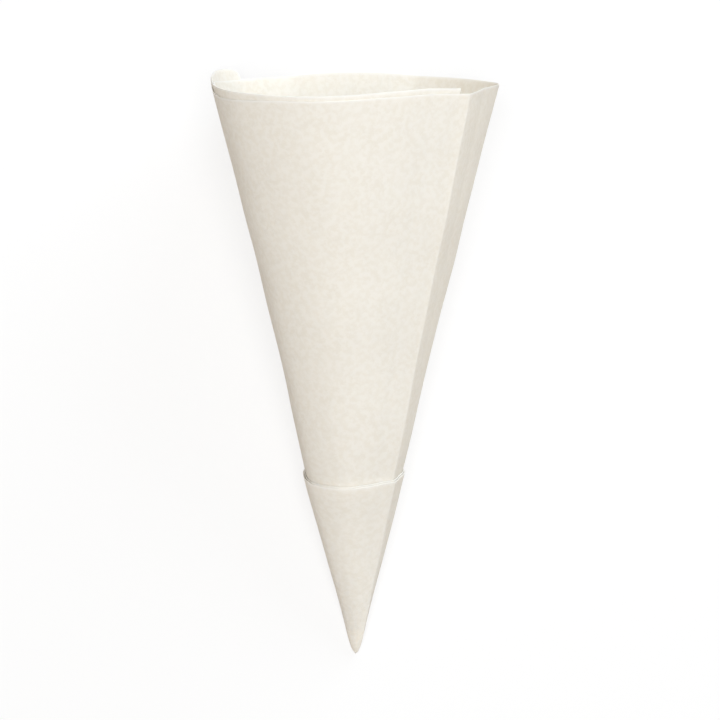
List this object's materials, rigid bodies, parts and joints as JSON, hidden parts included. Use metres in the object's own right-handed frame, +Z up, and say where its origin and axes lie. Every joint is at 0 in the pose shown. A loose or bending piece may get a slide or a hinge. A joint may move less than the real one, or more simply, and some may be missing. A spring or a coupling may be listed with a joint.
{
  "type": "paper coffee filter",
  "caption": "Cone filter folded from one half-round sheet of paper with a round tab: plies lapped on one side, one ply on the other, tab wrapped round the tip.",
  "frame": {"origin": "bottom centre of the box round the cone as it lies on a table", "axes": "+Y along the cone towards its mouth, +Z up, away from the table; the lapped side is up and the single ply lies below"},
  "size_m": [0.0858, 0.1746, 0.0819],
  "materials": {
    "filter_paper": "matte"
  },
  "bodies": {
    "root": {"filter_paper": "filter_paper"}
  },
  "joints": []
}
